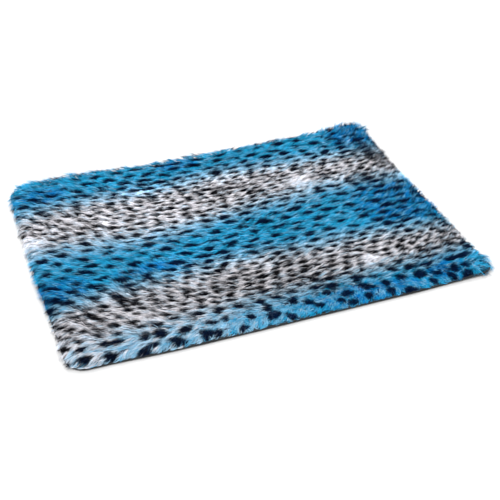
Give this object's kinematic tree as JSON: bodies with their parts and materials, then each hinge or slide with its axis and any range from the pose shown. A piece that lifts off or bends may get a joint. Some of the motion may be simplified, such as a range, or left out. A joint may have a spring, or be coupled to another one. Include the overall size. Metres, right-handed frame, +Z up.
{
  "type": "dog crate mat",
  "caption": "Flat rectangular pet mat with rounded corners: a thick faux-fur top in spotted blue and white bands, over a dark backing cloth turned up to the edge seam.",
  "frame": {"origin": "middle of the mat, on the surface that it lies on", "axes": "+X along the long side, +Y across the mat towards its back edge, +Z up through its thickness"},
  "size_m": [0.614, 0.4593, 0.0152],
  "materials": {
    "fur": "soft long pile, printed with dark spots on blue and white bands",
    "backing": "matte woven cloth"
  },
  "bodies": {
    "root": {"fur_top": "fur", "backing": "backing"}
  },
  "joints": []
}
